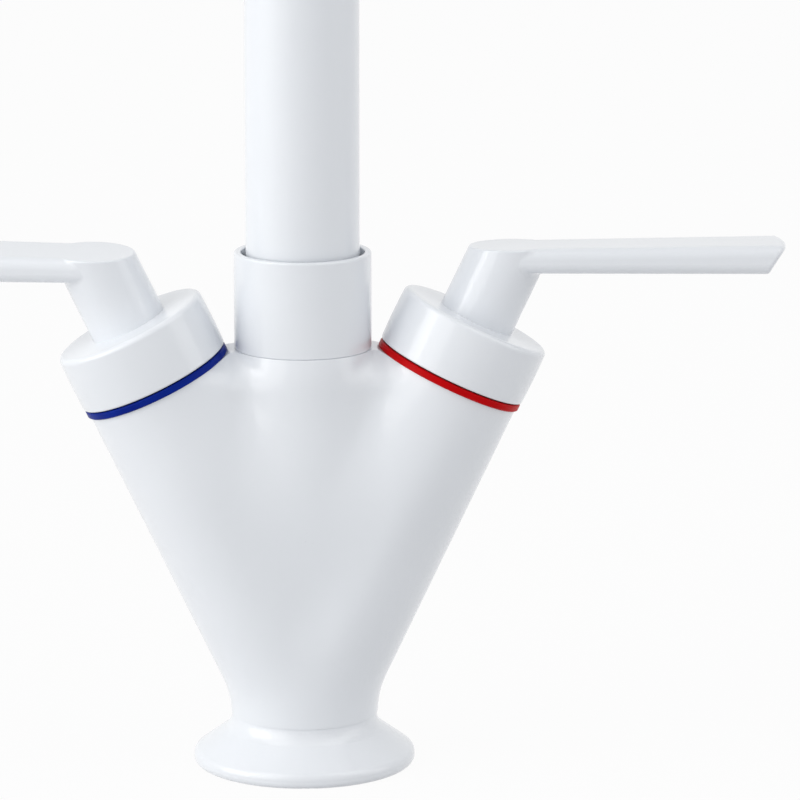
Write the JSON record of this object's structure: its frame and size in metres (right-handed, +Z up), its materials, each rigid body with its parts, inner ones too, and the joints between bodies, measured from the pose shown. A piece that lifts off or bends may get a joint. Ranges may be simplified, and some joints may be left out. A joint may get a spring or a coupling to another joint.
{
  "type": "two handle kitchen faucet",
  "caption": "Deck-mounted kitchen sink mixer tap with a Y-shaped body, cold and hot quarter-turn levers with blue and red index rings, and a tall swivelling swan-neck spout.",
  "frame": {"origin": "centre of the foot's flat underside, where the tap stands on the sink deck", "axes": "+Z up along the spout's riser, -Y towards the user and along the spout at rest, +X towards the hot (red) side"},
  "size_m": [0.2374, 0.2315, 0.423],
  "materials": {
    "white_enamel": "gloss",
    "blue_plastic": "gloss",
    "red_plastic": "gloss",
    "turned_brass": "satin",
    "black_rubber": "matte",
    "valve_ceramic": "polished",
    "plain_steel": "zinc plated",
    "white_plastic": "matte"
  },
  "bodies": {
    "tap_body": {"mixer_body": "white_enamel", "spout_collar": "white_enamel", "spout_bearing_washer": "white_plastic", "spout_grub_screw": "plain_steel", "foot_seal": "black_rubber", "fixing_stud": "plain_steel", "rubber_horseshoe": "black_rubber", "steel_horseshoe": "plain_steel", "fixing_nut": "turned_brass", "cold_index_ring": "blue_plastic", "cold_valve_housing": "turned_brass", "cold_valve_fixed_disc": "valve_ceramic", "cold_valve_seat_seal": "black_rubber", "cold_valve_housing_seal": "black_rubber", "hot_index_ring": "red_plastic", "hot_valve_housing": "turned_brass", "hot_valve_fixed_disc": "valve_ceramic", "hot_valve_seat_seal": "black_rubber", "hot_valve_housing_seal": "black_rubber"},
    "spout": {"spout_tube": "white_enamel", "spout_bush": "turned_brass", "spout_seals": "black_rubber", "nozzle_housing": "white_enamel", "nozzle_core": "white_plastic", "nozzle_screen": "plain_steel", "nozzle_seal": "black_rubber"},
    "cold_handle": {"cold_cap": "white_enamel", "cold_lever": "white_enamel", "cold_lever_screw": "plain_steel", "cold_valve_spindle": "turned_brass", "cold_valve_moving_disc": "valve_ceramic", "cold_valve_spindle_seal": "black_rubber", "cold_valve_clip": "plain_steel"},
    "hot_handle": {"hot_cap": "white_enamel", "hot_lever": "white_enamel", "hot_lever_screw": "plain_steel", "hot_valve_spindle": "turned_brass", "hot_valve_moving_disc": "valve_ceramic", "hot_valve_spindle_seal": "black_rubber", "hot_valve_clip": "plain_steel"}
  },
  "joints": [
    {"name": "spout_swivel", "type": "hinge", "parent": "tap_body", "child": "spout", "pos_m": [0, 0, 0.1171], "axis": [0, 0, 1], "continuous": true},
    {"name": "cold_lever_turn", "type": "hinge", "parent": "tap_body", "child": "cold_handle", "pos_m": [-0.0362, 0, 0.0978], "axis": [-0.4313, 0, 0.9022], "range_deg": [0, 90]},
    {"name": "hot_lever_turn", "type": "hinge", "parent": "tap_body", "child": "hot_handle", "pos_m": [0.0362, 0, 0.0978], "axis": [-0.4313, 0, -0.9022], "range_deg": [0, 90]}
  ]
}
